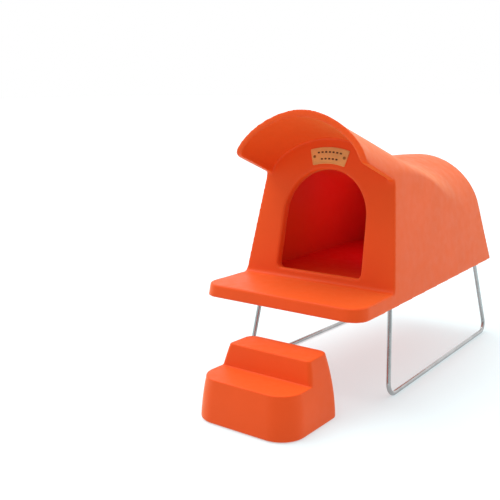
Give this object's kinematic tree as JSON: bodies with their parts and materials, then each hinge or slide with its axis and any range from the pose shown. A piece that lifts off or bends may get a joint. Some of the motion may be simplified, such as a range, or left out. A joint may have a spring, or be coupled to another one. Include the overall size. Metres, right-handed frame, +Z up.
{
  "type": "dog kennel",
  "caption": "Moulded plastic dog kennel with an upswept hood, arched doorway and porch on a bent rod stand, with a rear hook and a loose step.",
  "frame": {"origin": "on the floor, below the middle of the box around kennel and step", "axes": "+Z up; the doorway, porch and step face -Y; +X is to the right seen from the front"},
  "size_m": [0.4888, 1.1192, 0.7436],
  "materials": {
    "orange_plastic": "fine satin skin of a rotational moulding",
    "liner_plastic": "matt",
    "stainless_rod": "drawn rod, brushed",
    "fixing_steel": "plain",
    "brass": "brushed, lightly toned",
    "grey_rubber": "matt"
  },
  "bodies": {
    "kennel": {"shell": "orange_plastic", "leg_frame": "stainless_rod", "leg_spacers": "grey_rubber", "leg_screws": "fixing_steel", "leg_inserts": "brass", "base_pads": "orange_plastic", "cap_spacer": "orange_plastic", "hook_washer": "fixing_steel", "name_plate": "brass", "plate_screws": "brass"},
    "liner": {"floor_liner": "liner_plastic"},
    "hook": {"rear_cap": "orange_plastic", "tail_hook": "stainless_rod", "hook_nut": "fixing_steel"},
    "step": {"step_block": "orange_plastic", "step_feet": "grey_rubber"}
  },
  "joints": [
    {"name": "hook_swivel", "type": "hinge", "parent": "kennel", "child": "hook", "pos_m": [0, 0.49708, 0.466], "axis": [0, 0.9726, 0.2325], "range_deg": [-180, 180]},
    {"name": "liner_lift", "type": "slide", "parent": "kennel", "child": "liner", "axis": [0, 0, 1], "range_m": [0, 0.03]},
    {"name": "step_slide", "type": "slide", "parent": "kennel", "child": "step", "axis": [0, -1, 0], "range_m": [0, 0.3]}
  ]
}
